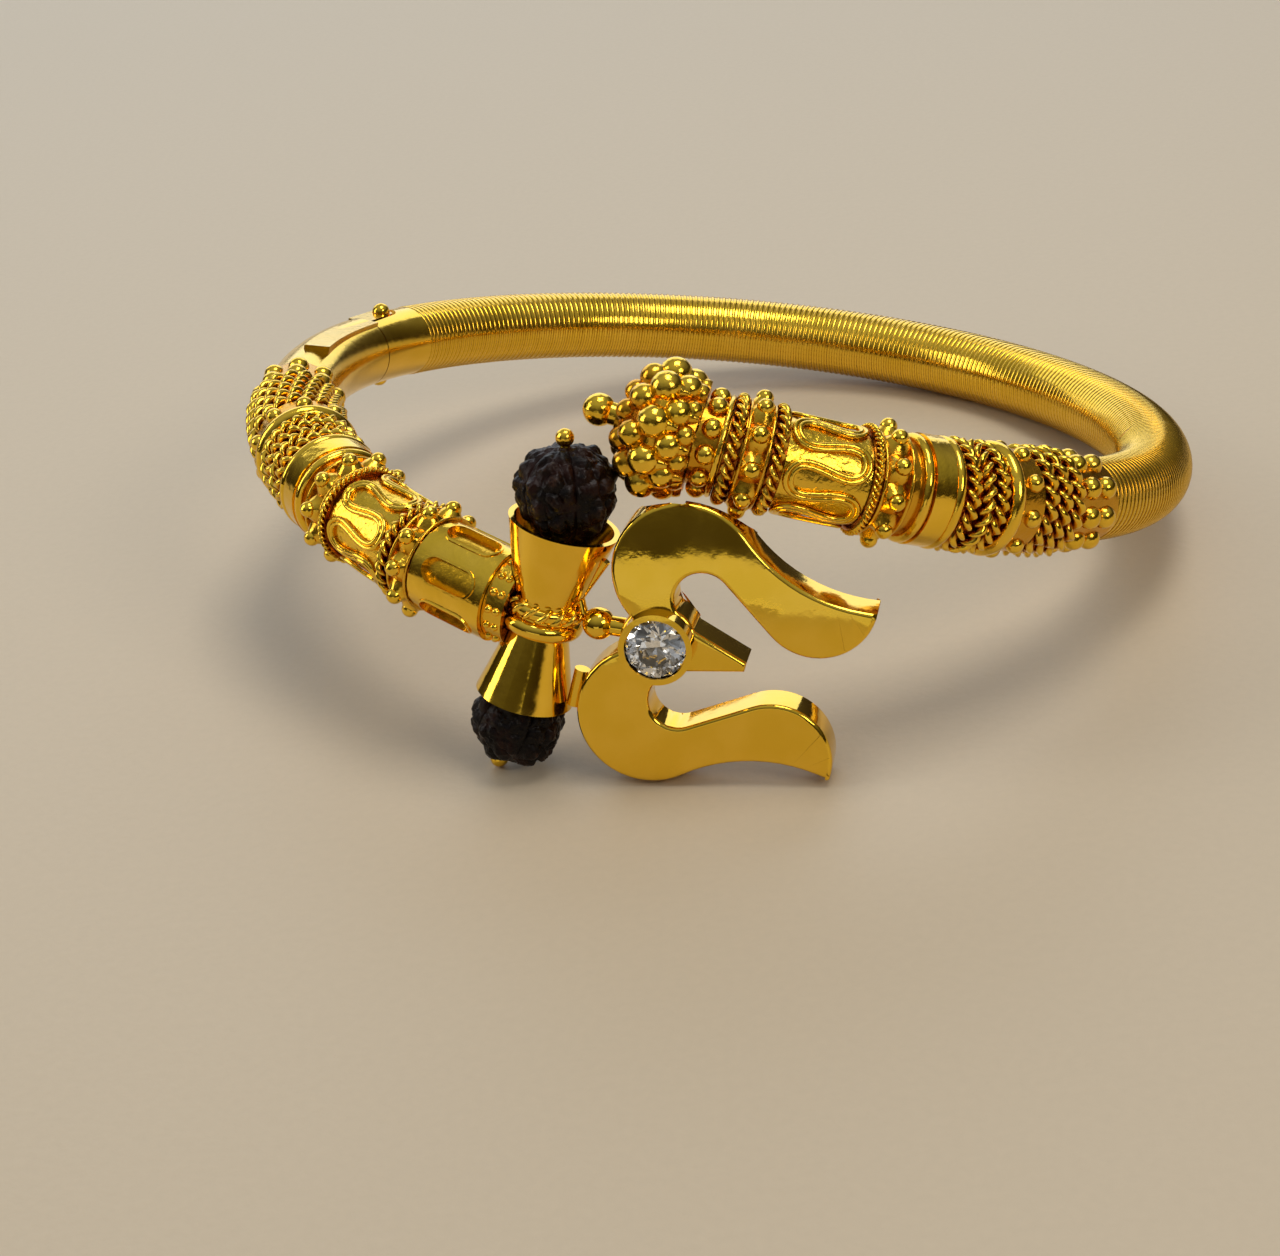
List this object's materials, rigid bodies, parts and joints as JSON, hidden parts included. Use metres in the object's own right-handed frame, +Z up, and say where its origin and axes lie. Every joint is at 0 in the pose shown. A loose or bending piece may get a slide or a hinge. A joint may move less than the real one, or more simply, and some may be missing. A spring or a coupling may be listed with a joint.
{
  "type": "kada bangle",
  "caption": "Openable gold kada bangle whose arms end in a berry knob and in an hourglass drum with rudraksha beads and a trident.",
  "frame": {"origin": "centre of the bounding box, on the floor it rests on", "axes": "+Z up from the floor; +X to the right as seen from the side with the damru and the trident; +Y away from that side, towards the back of the wound tube"},
  "size_m": [0.0755, 0.0788, 0.0288],
  "materials": {
    "gold": "polished high-karat yellow gold",
    "bead": "dark satin rudraksha seed",
    "stone": "clear faceted"
  },
  "bodies": {
    "kada": {"wound_tube": "gold", "right_double_granule_collar": "gold", "right_rope_band_a": "gold", "right_granule_collar": "gold", "right_plain_ring": "gold", "right_rope_band_b": "gold", "right_ring_set": "gold", "right_stud_collar_a": "gold", "right_rope_ring_a": "gold", "right_wave_barrel": "gold", "right_wave_wire": "gold", "right_rope_ring_b": "gold", "right_stud_collar_b": "gold", "right_rope_ring_c": "gold", "right_petal_ring": "gold", "berry_cap": "gold", "ball_finial": "gold"},
    "swing_arm": {"hinge_sleeve": "gold", "hinge_pin": "gold", "left_double_granule_collar": "gold", "left_rope_band_a": "gold", "left_granule_collar": "gold", "left_plain_ring": "gold", "left_rope_band_b": "gold", "left_ring_set": "gold", "left_stud_collar_a": "gold", "left_rope_ring_a": "gold", "left_wave_barrel": "gold", "left_wave_wire": "gold", "left_rope_ring_b": "gold", "left_stud_collar_b": "gold", "slotted_barrel": "gold", "small_granule_collar": "gold", "damru": "gold", "top_rudraksha": "bead", "bottom_rudraksha": "bead", "top_bead_pin": "gold", "bottom_bead_pin": "gold", "trident": "gold", "stone": "stone"}
  },
  "joints": [
    {"name": "arm_hinge", "type": "hinge", "parent": "kada", "child": "swing_arm", "pos_m": [-0.0302, 0.01929, 0.01316], "axis": [-0.1615, -0.1608, -0.9737], "range_deg": [0, 60]}
  ]
}
